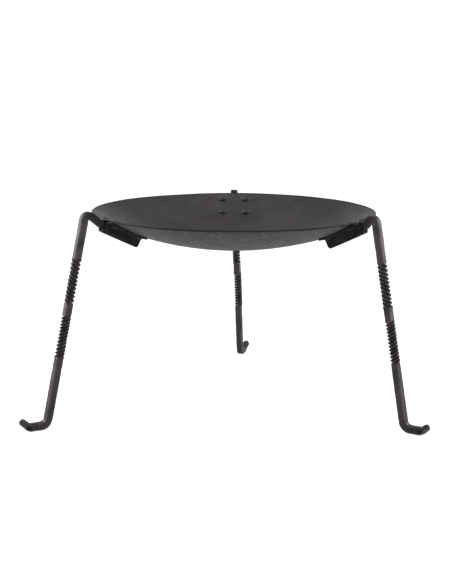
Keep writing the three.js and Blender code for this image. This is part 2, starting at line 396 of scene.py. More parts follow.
def bowl_sections():
    """The sheet's section from its outer middle, round the rim, to its inner middle. Each entry
    is the share of the way to the rim, and the offsets past the rim and into the bowl."""
    half = BOWL_SHEET / 2
    shares = np.linspace(0, 1, BOWL_RINGS + 1)[1:]
    outer = [(share, 0, -half) for share in shares]
    turns = [math.pi * i / RIM_STEPS for i in range(1, RIM_STEPS)]
    rim = [(1, half * math.sin(turn), -half * math.cos(turn)) for turn in turns]
    inner = [(share, 0, half) for share in shares[::-1]]
    return outer + rim + inner


def rim_wander(circle):
    """How far the hand-cut rim strays outwards at each side of the bowl."""
    round_rim = np.column_stack([circle * BOWL_RADIUS, np.zeros(BOWL_SIDES)])
    return RIM_WANDER * noise(round_rim, RIM_WANDER_SIZE, BOWL_SEEDS["rim"])


def sheet_points(shares, past_rim, inwards):
    """Points of the bowl's sheet, one ring for each entry of its section."""
    circle = circle_points(BOWL_SIDES)
    rim_distance = BOWL_RADIUS - BOWL_SHEET / 2 * math.cos(underside_slope(BOWL_RADIUS))
    straying = (shares ** RIM_WANDER_POWER)[:, None] * rim_wander(circle)[None, :]
    distance = (rim_distance * shares)[:, None] + straying
    slope = underside_slope(distance)

    places = distance[:, :, None] * circle[None, :, :]
    push = hammered(places.reshape(-1, 2)).reshape(distance.shape)
    depth = BOWL_SHEET / 2 + inwards[:, None] - push
    past = past_rim[:, None]
    reach = distance - depth * np.sin(slope) + past * np.cos(slope)
    height = underside_height(distance) + depth * np.cos(slope) + past * np.sin(slope)
    across = reach[:, :, None] * circle[None, :, :]
    return np.concatenate([across, height[:, :, None]], axis=2)


def bowl_mesh():
    """The sheet as a closed tube of rings, outside, round the rim and inside."""
    half = BOWL_SHEET / 2
    sections = bowl_sections()
    shares = np.array([MIDDLE_SHARE] + [s[0] for s in sections] + [MIDDLE_SHARE])
    past_rim = np.array([0] + [s[1] for s in sections] + [0])
    inwards = np.array([-half] + [s[2] for s in sections] + [half])
    points = sheet_points(shares, past_rim, inwards)
    edge = ease(*RIM_EDGE, shares)[:, None] * np.ones(BOWL_SIDES)
    inside = (inwards > 0).astype(float)[:, None] * np.ones(BOWL_SIDES)

    rings = points[1:-1]
    ends = np.stack([points[0].mean(axis=0), points[-1].mean(axis=0)])
    all_points = np.vstack([rings.reshape(-1, 3), ends]) + np.array(AXIS)
    attributes = {
        "edge": np.concatenate([edge[1:-1].ravel(), [0, 0]]),
        "inside": np.concatenate([inside[1:-1].ravel(), [0, 1]]),
    }
    return all_points, tube_faces(len(rings), BOWL_SIDES), attributes


def make_bowl(material):
    points, faces, attributes = bowl_mesh()
    faces = [face[::-1] for face in faces]
    piece = add_mesh("dished_bowl", points, faces, attributes)
    finish_piece(piece, material, "fire_bowl", "pan")


# ------------------------ sockets


def unit(vector):
    return vector / np.linalg.norm(vector)


def rounded_corner(before, corner, after, radius):
    """Points of the arc that rounds one corner of a path."""
    back = unit(before - corner)
    onward = unit(after - corner)
    half_angle = math.acos(np.clip(back @ onward, -1, 1)) / 2
    centre = corner + unit(back + onward) * radius / math.sin(half_angle)
    first = corner + back * radius / math.tan(half_angle) - centre
    last = corner + onward * radius / math.tan(half_angle) - centre
    spokes = [first * (1 - share) + last * share for share in np.linspace(0, 1, FOLD_POINTS)]
    return [centre + unit(spoke) * radius for spoke in spokes]


def rounded_path(corners, radii, step):
    """Points along a path of straight lines whose inner corners are rounded, about step apart."""
    path = [corners[0]]
    for before, corner, after, radius in zip(corners, corners[1:], corners[2:], radii):
        path += rounded_corner(before, corner, after, radius)
    path = np.array(path + [corners[-1]])
    pieces = np.linalg.norm(np.diff(path, axis=0), axis=1)
    lengths = np.concatenate([[0], np.cumsum(pieces)])
    count = math.ceil(lengths[-1] / step)
    wanted = np.linspace(0, lengths[-1], count + 1)
    return np.stack([np.interp(wanted, lengths, path[:, i]) for i in range(2)], axis=1)


def hat_path():
    """Middle of the socket's sheet, seen from its mouth: across, and up towards the bowl."""
    half_sheet = SOCKET_SHEET / 2
    flange = -TOUCH_GAP - half_sheet
    floor = -TOUCH_GAP - CHANNEL_DEPTH - half_sheet
    wall = CHANNEL_WIDTH / 2 + half_sheet
    edge = SOCKET_WIDTH / 2
    corners = [
        (-edge, flange), (-wall, flange), (-wall, floor),
        (wall, floor), (wall, flange), (edge, flange),
    ]
    folded = FLANGE_CORNER + half_sheet
    channel = CHANNEL_CORNER + half_sheet
    radii = [folded, channel, channel, folded]
    return rounded_path([np.array(corner) for corner in corners], radii, SOCKET_STEP)


def sheet_faces(rows, columns):
    """Faces of a closed sheet, whose grid of upper points is followed by one of lower points."""
    count = rows * columns
    faces = []
    for row, column in itertools.product(range(rows - 1), range(columns - 1)):
        corner = row * columns + column
        quad = (corner, corner + 1, corner + columns + 1, corner + columns)
        faces.append(quad)
        faces.append(tuple(count + i for i in quad[::-1]))
    border = list(range(columns))
    border += [row * columns + columns - 1 for row in range(1, rows)]
    border += [(rows - 1) * columns + i for i in range(columns - 2, -1, -1)]
    border += [row * columns for row in range(rows - 2, 0, -1)]
    for a, b in zip(border, border[1:] + border[:1]):
        faces.append((b, a, count + a, count + b))
    return faces


def socket_sheet(leg, along, path):
    """Middle of the socket's sheet and its outward way at each point of the grid.
    The channel is straight, and the flanges are dressed to the curve of the bowl."""
    seed = leg["seed"]
    tangent = np.gradient(path, axis=0)
    tangent /= np.linalg.norm(tangent, axis=1)[:, None]
    normal = np.stack([-tangent[:, 1], tangent[:, 0]], axis=1)
    x = np.repeat(along, len(path))
    centre = np.column_stack([x, np.tile(path, (len(along), 1))])
    outwards = np.column_stack([np.zeros(len(x)), np.tile(normal, (len(along), 1))])
    centre += outwards * (SOCKET_WARP * noise(centre, SOCKET_WARP_SIZE, seed))[:, None]
    straying = noise(centre, SOCKET_END_WARP_SIZE, seed + 1)
    centre[:, 0] += SOCKET_WARP * SOCKET_END_WARP * straying * np.abs(x) / SOCKET_LENGTH * 2
    fold = CHANNEL_WIDTH / 2 + SOCKET_SHEET
    dressed = ease(fold, fold + FLANGE_DRESSING, np.abs(centre[:, 1]))
    centre[:, 2] += dressed * bulge_at(leg, centre[:, 0], centre[:, 1])
    return centre, outwards


def socket_attributes(along, columns):
    """Wear along the strip's edges, and each point's place on the strip laid flat."""
    x = np.repeat(along, columns)
    column = np.arange(columns)
    to_end = SOCKET_LENGTH / 2 - np.abs(x)
    to_side = np.tile(np.minimum(column, column[::-1]), len(along)) * SOCKET_STEP
    wear_and_highlight = 1 - ease(0, SOCKET_WORN_EDGE, np.minimum(to_end, to_side))
    strip = np.column_stack([x, np.tile(column * SOCKET_STEP, len(along)), np.zeros(len(x))])
    return {"wear_and_highlight": np.tile(wear_and_highlight, 2), "strip": np.tile(strip, (2, 1))}


def socket_mesh(leg):
    path = hat_path()
    stations = round(SOCKET_LENGTH / SOCKET_STEP)
    along = np.linspace(-SOCKET_LENGTH / 2, SOCKET_LENGTH / 2, stations + 1)
    centre, outwards = socket_sheet(leg, along, path)
    upper = centre + outwards * SOCKET_SHEET / 2
    lower = centre - outwards * SOCKET_SHEET / 2
    faces = sheet_faces(len(along), len(path))
    return np.vstack([upper, lower]), faces, socket_attributes(along, len(path))


def make_socket(leg, material):
    points, faces, attributes = socket_mesh(leg)
    points = moved(points, socket_frame(leg))
    piece = add_mesh(f"folded_socket_{leg['name']}", points, faces, attributes)
    bevel = piece.modifiers.new("filed edges", "BEVEL")
    bevel.width = SOCKET_EDGE
    bevel.segments = SOCKET_EDGE_SEGMENTS
    bevel.limit_method = "ANGLE"
    bevel.angle_limit = math.radians(SOCKET_EDGE_ANGLE)
    finish_piece(piece, material, f"leg_socket_{leg['name']}", "pan")


# ------------------------ rivets


def head_rings(head):
    """Points of a flattened dome, in rings from its seat to near its top."""
    turns = np.linspace(0, math.pi / 2, HEAD_STEPS + 1)[:-1]
    radius = head["radius"] * np.cos(turns) ** HEAD_ROUNDNESS
    height = head["height"] * np.sin(turns)
    across = radius[:, None, None] * circle_points(RIVET_SIDES)[None]
    up = np.repeat(height[:, None], RIVET_SIDES, axis=1)[:, :, None]
    return np.concatenate([across, up], axis=2).reshape(-1, 3)


def struck(points, draw):
    """Flattens the dome under the blows that closed the rivet."""
    for _ in range(HEAD_FACETS):
        tilt = draw.uniform(*FACET_TILT)
        way = draw.uniform(0, 2 * math.pi)
        aside = math.sin(tilt)
        face = np.array([aside * math.cos(way), aside * math.sin(way), math.cos(tilt)])
        outwards = points @ face
        over = outwards - outwards.max() + draw.uniform(*FACET_SHARE) * FACET_DEPTH
        points = points - np.clip(over, 0, None)[:, None] * face * FACET_FLATNESS
    return points


def head_points(head, draw):
    """A head's rings and top point, seated on z = 0."""
    rings = head_rings(head)
    top = np.array([[0, 0, head["height"]]])
    return struck(np.vstack([rings, top]), draw)


def sheet_tilt(leg, x, y):
    """Turns a head on the socket frame square to the sheet above it."""
    far = TILT_STEP
    along = (bulge_at(leg, x + far, y) - bulge_at(leg, x - far, y)) / (2 * far)
    across = (bulge_at(leg, x, y + far) - bulge_at(leg, x, y - far)) / (2 * far)
    return Matrix.Rotation(-along, 4, "Y") @ Matrix.Rotation(across, 4, "X")


def rivet_mesh(leg, place, draw):
    """Shank with a head at each end, square to the bowl and to the flange that follows it."""
    x, y = place
    bulge = bulge_at(leg, x, y)
    tilt = sheet_tilt(leg, x, y)
    upper_seat = bulge + BOWL_SHEET - UPPER_HEAD["sunk"]
    lower_seat = bulge - TOUCH_GAP - SOCKET_SHEET + LOWER_HEAD["sunk"]
    upper = moved(head_points(UPPER_HEAD, draw), Matrix.Translation((0, 0, upper_seat)) @ tilt)
    lower = head_points(LOWER_HEAD, draw) * np.array([1, 1, -1])
    lower = moved(lower, Matrix.Translation((0, 0, lower_seat)) @ tilt)

    circle = np.column_stack([circle_points(RIVET_SIDES), np.zeros(RIVET_SIDES)])
    shank = circle * RIVET_SHANK
    order = np.arange(HEAD_STEPS)[::-1]
    lower_rings = lower[:-1].reshape(HEAD_STEPS, RIVET_SIDES, 3)[order].reshape(-1, 3)
    shank_low = shank + np.array([0, 0, lower_seat])
    shank_high = shank + np.array([0, 0, upper_seat])
    rings = np.vstack([lower_rings, shank_low, shank_high, upper[:-1]])
    points = np.vstack([rings, lower[-1:], upper[-1:]])
    faces = tube_faces(len(rings) // RIVET_SIDES, RIVET_SIDES)
    # Painted highlight towards the top of the upper head, and painted shade on the lower half under
    # the bowl
    above = np.clip((points[:, 2] - upper_seat) / UPPER_HEAD["height"], 0, 1)
    painted_shade = (points[:, 2] < (lower_seat + upper_seat) / 2).astype(float)
    return points + np.array([x, y, 0]), faces, {"wear_and_highlight": ease(*HEAD_PAINTED_HIGHLIGHT, above), "painted_shade": painted_shade}


def rivet_places():
    """Middles of a socket's four rivets, on the socket frame."""
    for along, across in itertools.product((-1, 1), repeat=2):
        yield along * RIVET_SPACING_ALONG / 2, across * RIVET_SPACING_ACROSS / 2


def make_rivets(leg, material):
    draw = random_numbers(leg["seed"])
    for number, place in enumerate(rivet_places(), start=1):
        points, faces, attributes = rivet_mesh(leg, place, draw)
        points = moved(points, socket_frame(leg))
        piece = add_mesh(f"domed_rivet_{leg['name']}_{number}", points, faces, attributes)
        finish_piece(piece, material, f"rivet_{leg['name']}_{number}", "pan")


# ------------------------ legs


def rounded_square(corner):
    """Outline of the bar's section with a corner radius: points, normals and cornerness."""
    half = BAR / 2
    points = []
    normals = []
    cornerness = []
    for side in range(4):
        turn = side * math.pi / 2
        facing = np.array([math.cos(turn), math.sin(turn)])
        along = np.array([-math.sin(turn), math.cos(turn)])
        for share in np.linspace(-1, 1, FLAT_POINTS):
            points.append(facing * half + along * (half - corner) * share)
            normals.append(facing)
            cornerness.append(abs(share) ** FLAT_CORNERNESS_POWER * FLAT_CORNERNESS)
        centre = (facing + along) * (half - corner)
        for step in range(1, CORNER_POINTS):
            angle = turn + math.pi / 2 * step / CORNER_POINTS
            spoke = np.array([math.cos(angle), math.sin(angle)])
            points.append(centre + spoke * corner)
            normals.append(spoke)
            cornerness.append(1.0)
    return np.array(points), np.array(normals), np.array(cornerness)


def stretch(length, name="plain", rise=0, swing=0, turns=0):
    """One stretch of the bar: how far it goes, and the angles and turns it goes through."""
    return {"name": name, "length": length, "rise": rise, "swing": swing, "turns": turns}


def twist(size):
    return stretch(size["length"], "twist", turns=size["turns"])


def bend(radius, rise, swing=0, name="bend"):
    return stretch(radius * math.radians(abs(rise)), name, rise, swing)


def leg_stretches(leg, lower_shank):
    """The whole bar, from the inner end of its stub to its toe."""
    fall = 90 - leg["lean"]
    slope = math.degrees(underside_slope(leg["reach"]))
    top = -(slope + leg["kick"] + fall)
    stretches = [stretch(STUB_IN_SOCKET, "stub"), bend(KICK_RADIUS, leg["kick"], name="hook")]
    stretches += [stretch(leg["stub"], "hook"), bend(TOP_BEND_RADIUS, top, leg["veer"], "hook")]
    stretches += [stretch(UPPER_SHANK), twist(UPPER_TWIST), stretch(COLLAR)]
    stretches += [twist(LOWER_TWIST), stretch(lower_shank)]
    stretches += [bend(FOOT_BEND_RADIUS, fall), stretch(FOOT_RUN)]
    stretches += [bend(TOE_BEND_RADIUS, TOE_RISE, TOE_SWING, "toe_bend"), stretch(TOE, "toe")]
    return [each for each in stretches if each["length"] > 0]


def twist_shares(length, count, seed):
    """How a twist's turns are shared out along it: none at its ends, and never quite even."""
    place = (np.arange(count) + 0.5) / count * length
    share = ease(0, TWIST_EASE, place) * ease(0, TWIST_EASE, length - place)
    line = np.column_stack([place, np.zeros(count), np.zeros(count)])
    share *= 1 + TWIST_UNEVEN * noise(line, TWIST_UNEVEN_SIZE, seed)
    return share / share.sum()


def stretch_steps(part, seed):
    """Length, rise, swing and spin of each step of a stretch, and how twisted it is there."""
    length = part["length"]
    count = math.ceil(length / RING_SPACING)
    even = np.full(count, 1 / count)
    turning = even
    twisted = np.zeros(count)
    if part["name"] == "twist":
        turning = twist_shares(length, count, seed)
        place = np.arange(1, count + 1) / count * length
        twisted = ease(0, TWIST_EASE, place) * ease(0, TWIST_EASE, length - place)
    rise = even * math.radians(part["rise"])
    swing = even * math.radians(part["swing"])
    spin = turning * part["turns"] * 2 * math.pi
    return np.column_stack([even * length, rise, swing, spin]), twisted


def heading(rise, swing):
    """Unit vectors that point up by the rise and sideways by the swing."""
    level = np.cos(rise)
    return np.column_stack([level * np.cos(swing), level * np.sin(swing), np.sin(rise)])


def walk(start, slope, stretches, seed):
    """Rings along the bar: where each is, its heading and level side, and what it is part of."""
    steps = []
    names = []
    twisted = [0.0]
    for number, part in enumerate(stretches):
        part_steps, part_twisted = stretch_steps(part, seed + number)
        steps.append(part_steps)
        names += [part["name"]] * len(part_steps)
        twisted += list(part_twisted)
    steps = np.vstack(steps)
    length, rise, swing, spin = (np.concatenate([[0], np.cumsum(steps[:, i])]) for i in range(4))
    rise = rise + slope
    middle_rise = (rise[1:] + rise[:-1]) / 2
    middle_swing = (swing[1:] + swing[:-1]) / 2
    moves = heading(middle_rise, middle_swing) * steps[:, :1]
    position = np.vstack([[start], start + np.cumsum(moves, axis=0)])
    return {
        "position": position,
        "forward": heading(rise, swing),
        "side": np.column_stack([-np.sin(swing), np.cos(swing), np.zeros(len(swing))]),
        "spin": spin,
        "length": length,
        "name": np.array([names[0]] + names),
        "twisted": np.array(twisted),
    }


def leg_start(leg):
    """Inner end of a leg's stub, in the leg's own side of the bowl."""
    slope = underside_slope(leg["reach"])
    along = SOCKET_LENGTH / 2 - STUB_IN_SOCKET
    drop = TOUCH_GAP + BAR_BELOW_FLANGE + BAR / 2
    x = leg["reach"] + along * math.cos(slope) + drop * math.sin(slope)
    z = underside_height(leg["reach"]) + along * math.sin(slope) - drop * math.cos(slope)
    return np.array([x, 0, z])


def lower_shank_length(leg):
    """What is left for the plain lower shank, so that the foot's run lies on the ground."""
    slope = underside_slope(leg["reach"])
    unfinished = walk(leg_start(leg), slope, leg_stretches(leg, 0)[:-2], leg["seed"])
    spare = unfinished["position"][-1, 2] - BAR / 2
    return spare / math.cos(math.radians(leg["lean"]))


def rounded_end(path):
    """Adds rings that close the toe with a forged, rounded end, and gives each ring its scale."""
    turns = np.linspace(0, math.pi / 2, END_STEPS + 1)[1:-1]
    scale = np.concatenate([np.ones(len(path["length"])), np.cos(turns)])
    scale[0] = STUB_END_SCALE
    reach = BAR / 2 * np.sin(turns)
    longer = {}
    for key, values in path.items():
        longer[key] = np.concatenate([values, np.repeat(values[-1:], len(turns), axis=0)])
    longer["position"][-len(turns):] += reach[:, None] * path["forward"][-1]
    longer["length"][-len(turns):] += reach
    return longer, scale


def lengths_of(path, name):
    """Lengths along the bar at the rings of one stretch."""
    return path["length"][path["name"] == name]


def bar_sections(path, scale):
    """Each ring's outline and normals in its own plane, and the cornerness of each point."""
    plain, plain_normal, cornerness = rounded_square(BAR_EDGE)
    rounder, rounder_normal, _ = rounded_square(TOE_EDGE)
    toe_start = lengths_of(path, "toe_bend")[0]
    toeness = ease(toe_start, toe_start + TOE_EASE, path["length"])[:, None, None]
    narrowed = 1 - TOE_NARROWING * toeness
    section = (plain * (1 - toeness) + rounder * toeness) * narrowed * scale[:, None, None]
    normal = plain_normal * (1 - toeness) + rounder_normal * toeness
    return section, normal, np.tile(cornerness, len(scale))


def forging_push(bar_place, twisted, corner, seed):
    """How far hammer and twist have moved each point of the bar outwards."""
    push = -TWIST_HOLLOW * twisted * (1 - corner) ** 2
    push += BROAD_MARK["depth"] * noise(bar_place, BROAD_MARK["size"], seed)
    push += FINE_MARK["depth"] * noise(bar_place, FINE_MARK["size"], seed + 1)
    knocks = noise(bar_place, CORNER_KNOCK["size"], seed + 2)
    push -= CORNER_KNOCK["depth"] * corner * ease(CORNER_KNOCK["from"], CORNER_KNOCK["to"], knocks)
    return push


def toe_dent(path, sideways, upwards):
    """1 in the middle of each dent that the tongs leave on the toe's bend, and 0 away from them."""
    bent = DENT_PLACE * TOE_BEND_RADIUS * math.radians(TOE_RISE)
    past_middle = path["length"][:, None] - (lengths_of(path, "toe_bend")[0] + bent)
    near = (past_middle / DENT_LENGTH) ** 2 + ((upwards + DENT_DROP) / DENT_HEIGHT) ** 2
    return np.exp(-near) * ease(*DENT_SIDE, np.abs(sideways))


def bar_painted_shade_and_wear(path, length, twisted, corner, dent):
    # Painted shade: the bowl's shadow on the hook, the twist's hollows and the toe's dents. Wear on
    # the corners, with painted highlight on the twist's ridges, dulled in the hook's painted
    # shadow.
    full_shadow_to, shadow_free_from = (lengths_of(path, "hook")[-1] + fade for fade in HOOK_PAINTED_SHADOW_FADE)
    hook_shadow = 1 - ease(full_shadow_to, shadow_free_from, length)
    shaded_hollow = twisted * (1 - ease(0.0, TWIST_PAINTED_SHADE_FADE, corner))
    painted_shade = np.maximum(TWIST_PAINTED_SHADE * shaded_hollow, HOOK_PAINTED_SHADOW * hook_shadow)
    painted_shade = np.maximum(painted_shade, np.clip(dent.ravel() * DENT_PAINTED_SHADE, 0, 1))
    wear_and_highlight = corner * (1 + TWIST_PAINTED_HIGHLIGHT * twisted) * (1 - HOOK_SHADOW_DULLING * hook_shadow)
    return painted_shade, wear_and_highlight


def leg_rings(path, scale, seed):
    """Points of all the rings, with the forging marks, and the attributes for the material."""
    side = path["side"]
    lift = np.cross(path["forward"], side)
    spin = path["spin"][:, None]
    across = side * np.cos(spin) + lift * np.sin(spin)
    over = lift * np.cos(spin) - side * np.sin(spin)

    section, normal, corner = bar_sections(path, scale)
    count = section.shape[1]
    length = np.repeat(path["length"], count)
    bar_place = np.column_stack([length, section.reshape(-1, 2)])
    twisted = np.repeat(path["twisted"], count)
    push = forging_push(bar_place, twisted, corner, seed) * np.repeat(scale, count)
    section = section + normal * push.reshape(-1, count)[:, :, None]

    offset = section[:, :, :1] * across[:, None, :] + section[:, :, 1:] * over[:, None, :]
    sideways = (offset * side[:, None, :]).sum(axis=2)
    upwards = (offset * lift[:, None, :]).sum(axis=2)
    dent = toe_dent(path, sideways, upwards)
    offset -= (DENT_DEPTH * dent * np.sign(sideways))[:, :, None] * side[:, None, :]

    points = (path["position"][:, None, :] + offset).reshape(-1, 3)
    painted_shade, wear_and_highlight = bar_painted_shade_and_wear(path, length, twisted, corner, dent)
    return points, {"bar": bar_place, "wear_and_highlight": wear_and_highlight, "painted_shade": painted_shade}, count


def leg_mesh(leg):
    start = leg_start(leg)
    stretches = leg_stretches(leg, lower_shank_length(leg))
    path = walk(start, underside_slope(leg["reach"]), stretches, leg["seed"])
    path, scale = rounded_end(path)
    points, attributes, count = leg_rings(path, scale, leg["seed"])
    last_ring = math.sin(math.pi / 2 * (1 - 1 / END_STEPS))
    tip = path["position"][-1] + path["forward"][-1] * (BAR / 2 * (1 - last_ring))
    points = np.vstack([points, [start], [tip]])
    attributes["bar"] = np.vstack([attributes["bar"], [[0, 0, 0], [path["length"][-1], 0, 0]]])
    for key in ("wear_and_highlight", "painted_shade"):
        attributes[key] = np.concatenate([attributes[key], [0, 0]])
    return points, tube_faces(len(scale), count), attributes


def make_leg(leg, material):
    points, faces, attributes = leg_mesh(leg)
    points = moved(points, leg_side(leg))
    piece = add_mesh(f"twisted_leg_{leg['name']}", points, faces, attributes)
    finish_piece(piece, material, f"leg_{leg['name']}", f"{leg['name']}_leg")


# ------------------------ materials


def rgb(red, green, blue):
    return (red, green, blue, 1.0)


# Linear colours. A pair is the two ends of a cloudy mix.
BOWL_INSIDE = (rgb(0.108, 0.105, 0.112), rgb(0.166, 0.154, 0.168))
BOWL_OUTSIDE = (rgb(0.062, 0.061, 0.063), rgb(0.135, 0.131, 0.137))
# The bright blows and the streaks on the outside are painted highlights
BOWL_PAINTED_HIGHLIGHT_BLOW = rgb(0.225, 0.220, 0.227)
BOWL_DARK_BLOW = rgb(0.035, 0.034, 0.035)
BOWL_PAINTED_HIGHLIGHT_STREAK = rgb(0.155, 0.150, 0.156)
BOWL_VIOLET = rgb(0.128, 0.104, 0.122)
BOWL_SCORCH = rgb(0.030, 0.029, 0.030)
BOWL_CUT_EDGE = rgb(0.030, 0.028, 0.029)

SOCKET_BLACK = (rgb(0.016, 0.016, 0.017), rgb(0.038, 0.036, 0.037))
SOCKET_LINE = rgb(0.070, 0.067, 0.069)
SOCKET_WORN = rgb(0.060, 0.057, 0.058)

RIVET_GREY = (rgb(0.098, 0.093, 0.099), rgb(0.122, 0.114, 0.121))
# Painted highlight on the tops of the heads inside the bowl
RIVET_PAINTED_HIGHLIGHT = rgb(0.165, 0.156, 0.163)
# Painted shade on the lower heads under the bowl
RIVET_PAINTED_SHADE = rgb(0.028, 0.027, 0.028)

LEG_GREY = (rgb(0.055, 0.052, 0.056), rgb(0.096, 0.088, 0.094))
LEG_VIOLET = rgb(0.114, 0.090, 0.105)
LEG_STREAK = rgb(0.160, 0.150, 0.158)
LEG_SCALE = rgb(0.030, 0.028, 0.029)
# Wear on the corners, and painted highlight on the twist's ridges
LEG_WEAR_AND_HIGHLIGHT = rgb(0.310, 0.285, 0.302)
# Painted shade in the twist's hollows, on the hook under the bowl and in the toe's dents
LEG_PAINTED_SHADE = rgb(0.014, 0.013, 0.014)


def add_node(tree, kind, inputs=None, **settings):
    """A node with its settings, whose inputs are set to a value or linked to an output."""
    made = tree.nodes.new(kind)
    for key, value in settings.items():
        setattr(made, key, value)
    for key, value in (inputs or {}).items():
        if isinstance(value, bpy.types.NodeSocket):
            tree.links.new(value, made.inputs[key])
        else:
            made.inputs[key].default_value = value
    return made


def object_place(tree):
    return add_node(tree, "ShaderNodeTexCoord").outputs["Object"]


def texture(tree, vector, scale, detail=4, roughness=0.6):
    inputs = {"Vector": vector, "Scale": scale, "Detail": detail, "Roughness": roughness}
    return add_node(tree, "ShaderNodeTexNoise", inputs).outputs["Fac"]


def stretched(tree, vector, scale):
    return add_node(tree, "ShaderNodeMapping", {"Vector": vector, "Scale": scale}).outputs["Vector"]


def remap(tree, value, low, high, to_low=0.0, to_high=1.0):
    """A smooth step from to_low to to_high as the value goes from low to high."""
    inputs = {
        "Value": value,
        "From Min": low,
        "From Max": high,
        "To Min": to_low,
        "To Max": to_high,
    }
    made = add_node(tree, "ShaderNodeMapRange", inputs, interpolation_type="SMOOTHSTEP")
    return made.outputs["Result"]


def combine(tree, operation, a, b):
    return add_node(tree, "ShaderNodeMath", {0: a, 1: b}, operation=operation).outputs[0]


def blend(tree, factor, first, second):
    """Mix of two colours."""
    inputs = {0: factor, 6: first, 7: second}
    return add_node(tree, "ShaderNodeMix", inputs, data_type="RGBA").outputs[2]


def cloudy(tree, value, colours):
    """A mix of two colours that goes with a noise value."""
    return blend(tree, remap(tree, value, 0.35, 0.65), *colours)


def times(tree, value, factor):
    return combine(tree, "MULTIPLY", value, factor)


def attribute(tree, name, output="Fac"):
    """A mesh attribute: a number as Fac, and a place as Vector."""
    return add_node(tree, "ShaderNodeAttribute", attribute_name=name).outputs[output]


def bumps(tree, heights):
    """Bump nodes in a chain: each height is a (value, distance in metres) pair."""
    normal = None
    for value, distance in heights:
        inputs = {"Height": value, "Distance": distance, "Strength": 1.0}
        if normal is not None:
            inputs["Normal"] = normal
        normal = add_node(tree, "ShaderNodeBump", inputs).outputs["Normal"]
    return normal


def new_steel(name, metallic):
    material = bpy.data.materials.new(name)
    material.use_nodes = True
    shader = material.node_tree.nodes["Principled BSDF"]
    shader.inputs["Metallic"].default_value = metallic
    return material, material.node_tree


def finished_steel(material, colour, roughness, normal):
    tree = material.node_tree
    shader = tree.nodes["Principled BSDF"]
    tree.links.new(colour, shader.inputs["Base Color"])
    tree.links.new(roughness, shader.inputs["Roughness"])
    tree.links.new(normal, shader.inputs["Normal"])
    return material


def outside_colour(tree, place, mottle):
    """Mottled grey, with some blows painted lighter as highlights and some darker with soot, and
    lighter streaks round the bowl painted as highlights.
    """
    blow = texture(tree, place, scale=105, detail=5, roughness=0.62)
    highlight_streak = texture(tree, stretched(tree, place, (14, 14, 260)), scale=1)
    colour = cloudy(tree, mottle, BOWL_OUTSIDE)
    # Painted highlights: bright blows here, and lighter streaks two lines on
    colour = blend(tree, remap(tree, blow, 0.50, 0.68, to_high=0.8), colour, BOWL_PAINTED_HIGHLIGHT_BLOW)
    colour = blend(tree, remap(tree, blow, 0.46, 0.34, to_high=0.7), colour, BOWL_DARK_BLOW)
    return blend(tree, remap(tree, highlight_streak, 0.45, 0.75, to_high=0.5), colour, BOWL_PAINTED_HIGHLIGHT_STREAK)


def bowl_steel():
    """Satin gunmetal inside, lighter and more mottled outside with painted highlights, and dark
    along the cut edge.
    """
    material, tree = new_steel("oil_blackened_sheet", metallic=0.9)
    place = object_place(tree)
    inside = attribute(tree, "inside")
    mottle = texture(tree, place, scale=55, detail=6, roughness=0.65)
    speck = texture(tree, place, scale=420, detail=3)
    grain = texture(tree, place, scale=1500, detail=2)

    inner = cloudy(tree, texture(tree, place, scale=9), BOWL_INSIDE)
    colour = blend(tree, inside, outside_colour(tree, place, mottle), inner)
    violet = remap(tree, texture(tree, place, scale=17, detail=3), 0.46, 0.66, to_high=0.65)
    colour = blend(tree, violet, colour, BOWL_VIOLET)
    scorch = remap(tree, speck, 0.60, 0.72, to_high=0.6)
    colour = blend(tree, scorch, colour, BOWL_SCORCH)
    cut_edge = remap(tree, attribute(tree, "edge"), 0.2, 1.0, to_high=0.8)
    colour = blend(tree, cut_edge, colour, BOWL_CUT_EDGE)

    roughness = remap(tree, mottle, 0.3, 0.7, to_low=0.38, to_high=0.54)
    roughness = combine(tree, "ADD", roughness, times(tree, scorch, 0.2))
    beaten = times(tree, mottle, remap(tree, inside, 0, 1, to_low=1, to_high=0.45))
    normal = bumps(tree, [(beaten, 0.0011), (speck, 0.00008), (grain, 0.00002)])
    return finished_steel(material, colour, roughness, normal)


def socket_steel():
    """Strip, nearly black, with faint lines drawn along it."""
    material, tree = new_steel("nearly_black_strip", metallic=0.85)
    place = object_place(tree)
    along_strip = stretched(tree, attribute(tree, "strip", "Vector"), (18, 330, 1))
    cloud = texture(tree, place, scale=60, detail=5)
    speck = texture(tree, place, scale=600, detail=3)
    lines = texture(tree, along_strip, scale=1, detail=3)

    colour = cloudy(tree, cloud, SOCKET_BLACK)
    colour = blend(tree, remap(tree, lines, 0.50, 0.66, to_high=0.7), colour, SOCKET_LINE)
    wear_and_highlight_amount = times(tree, attribute(tree, "wear_and_highlight"), remap(tree, cloud, 0.4, 0.62))
    colour = blend(tree, times(tree, wear_and_highlight_amount, 0.5), colour, SOCKET_WORN)

    roughness = remap(tree, speck, 0.3, 0.7, to_low=0.46, to_high=0.68)
    normal = bumps(tree, [(cloud, 0.0003), (speck, 0.00008)])
    return finished_steel(material, colour, roughness, normal)


